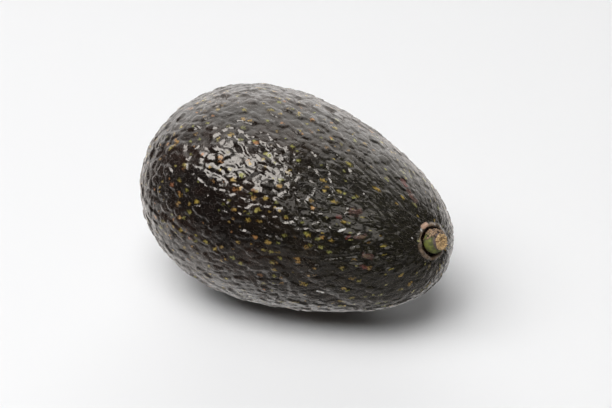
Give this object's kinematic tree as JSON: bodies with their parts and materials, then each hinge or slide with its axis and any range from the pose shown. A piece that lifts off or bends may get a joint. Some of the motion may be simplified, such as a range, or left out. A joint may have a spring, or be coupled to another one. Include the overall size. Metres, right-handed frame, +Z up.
{
  "type": "avocado",
  "caption": "Ripe dark pebbled avocado lying on its side, with its short corky stem button in the stem well.",
  "frame": {"origin": "middle of the small flat spot that the fruit rests on", "axes": "+X from the blossom end to the stem end, the longest extent; +Z up; the stem well is off the +X tip, up and towards -Y"},
  "size_m": [0.1097, 0.0714, 0.07],
  "materials": {
    "skin": "pebbled purple-black peel with a waxy sheen and small ochre and green lenticels",
    "stem": "matte olive-green and ochre stalk with a corky cut end"
  },
  "bodies": {
    "root": {"fruit": "skin", "stem_button": "stem"}
  },
  "joints": []
}
